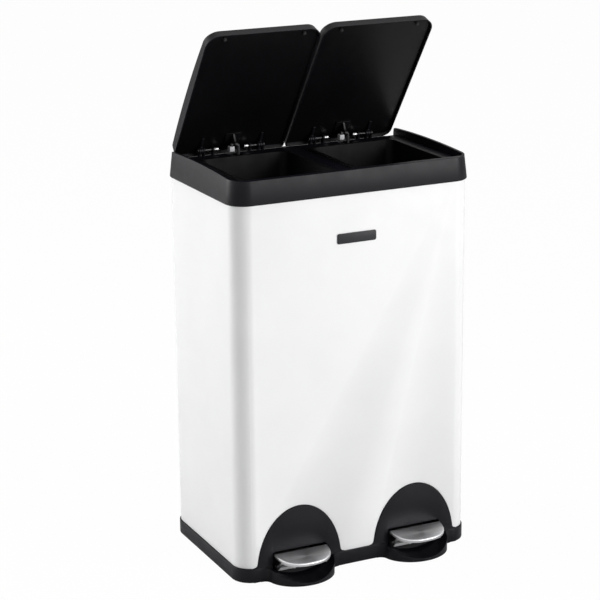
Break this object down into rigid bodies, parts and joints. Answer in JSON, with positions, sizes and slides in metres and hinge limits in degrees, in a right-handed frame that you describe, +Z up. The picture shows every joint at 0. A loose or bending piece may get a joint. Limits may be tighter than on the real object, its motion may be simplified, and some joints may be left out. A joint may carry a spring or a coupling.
{
  "type": "double recycling bin",
  "caption": "Upright pedal bin with a rounded steel body, two lift-out buckets side by side and two lids, each opened by its own pedal through a lever and a push rod.",
  "frame": {"origin": "on the floor, under the middle of the outline with both lids open", "axes": "+Z up; -Y the front, where the pedals are; +X to the right seen from the front"},
  "size_m": [0.4092, 0.3138, 0.8422],
  "materials": {
    "body_steel": "satin white powder coat",
    "base": "charcoal, fine grain",
    "frame": "charcoal, fine grain",
    "lid": "charcoal, fine grain",
    "lid_liner": "near-black, smooth",
    "bucket": "dark grey, smooth",
    "pedal_steel": "brushed across the pedal",
    "plated_steel": "bright zinc plating",
    "black_steel": "black coating, satin",
    "foot_rubber": "matt black",
    "bumper_rubber": "matt black",
    "light_nylon": "light grey nylon",
    "badge": "bare dark grey plate"
  },
  "bodies": {
    "bin": {"base": "base", "body_shell": "body_steel", "top_frame": "frame", "badge_plate": "badge", "foot_front_left": "foot_rubber", "foot_front_right": "foot_rubber", "foot_rear_left": "foot_rubber", "foot_rear_right": "foot_rubber", "bucket_left": "bucket", "hinge_pin_left_outer": "plated_steel", "hinge_pin_left_inner": "plated_steel", "rod_bush_left": "light_nylon", "lever_axle_left": "plated_steel", "lever_axle_clip_left": "plated_steel", "bucket_right": "bucket", "hinge_pin_right_outer": "plated_steel", "hinge_pin_right_inner": "plated_steel", "rod_bush_right": "light_nylon", "lever_axle_right": "plated_steel", "lever_axle_clip_right": "plated_steel"},
    "lid_left": {"lid_left": "lid", "lid_liner_left": "lid_liner", "lid_crank_left": "black_steel", "lid_bumper_left_outer": "bumper_rubber", "lid_bumper_left_inner": "bumper_rubber"},
    "rod_left": {"push_rod_left": "plated_steel", "rod_top_clip_left": "light_nylon", "rod_low_clip_left": "light_nylon"},
    "pedal_left": {"pedal_plate_left": "pedal_steel", "pedal_lever_left": "plated_steel", "pedal_screw_left_outer": "plated_steel", "pedal_screw_left_inner": "plated_steel"},
    "lid_right": {"lid_right": "lid", "lid_liner_right": "lid_liner", "lid_crank_right": "black_steel", "lid_bumper_right_outer": "bumper_rubber", "lid_bumper_right_inner": "bumper_rubber"},
    "rod_right": {"push_rod_right": "plated_steel", "rod_top_clip_right": "light_nylon", "rod_low_clip_right": "light_nylon"},
    "pedal_right": {"pedal_plate_right": "pedal_steel", "pedal_lever_right": "plated_steel", "pedal_screw_right_outer": "plated_steel", "pedal_screw_right_inner": "plated_steel"}
  },
  "joints": [
    {"name": "lid_left_hinge", "type": "hinge", "parent": "bin", "child": "lid_left", "pos_m": [-0.09725, 0.13421, 0.636], "axis": [-1, 0, 0], "range_deg": [-54.5, 0]},
    {"name": "rod_left_slide", "type": "slide", "parent": "bin", "child": "rod_left", "axis": [0, 0, 1], "range_m": [-0.01466, 0]},
    {"name": "pedal_left_pivot", "type": "hinge", "parent": "bin", "child": "pedal_left", "pos_m": [-0.1015, -0.02729, 0.028], "axis": [1, 0, 0], "range_deg": [-5.7, 0]},
    {"name": "lid_right_hinge", "type": "hinge", "parent": "bin", "child": "lid_right", "pos_m": [0.09725, 0.13421, 0.636], "axis": [-1, 0, 0], "range_deg": [-54.5, 0]},
    {"name": "rod_right_slide", "type": "slide", "parent": "bin", "child": "rod_right", "axis": [0, 0, 1], "range_m": [-0.01466, 0]},
    {"name": "pedal_right_pivot", "type": "hinge", "parent": "bin", "child": "pedal_right", "pos_m": [0.1015, -0.02729, 0.028], "axis": [1, 0, 0], "range_deg": [-5.7, 0]}
  ],
  "couplings": [
    {"joint": "rod_left_slide", "follows": "lid_left_hinge", "m_per_rad": 0.015404},
    {"joint": "pedal_left_pivot", "follows": "lid_left_hinge", "ratio": 0.10451},
    {"joint": "rod_right_slide", "follows": "lid_right_hinge", "m_per_rad": 0.015404},
    {"joint": "pedal_right_pivot", "follows": "lid_right_hinge", "ratio": 0.10451}
  ]
}
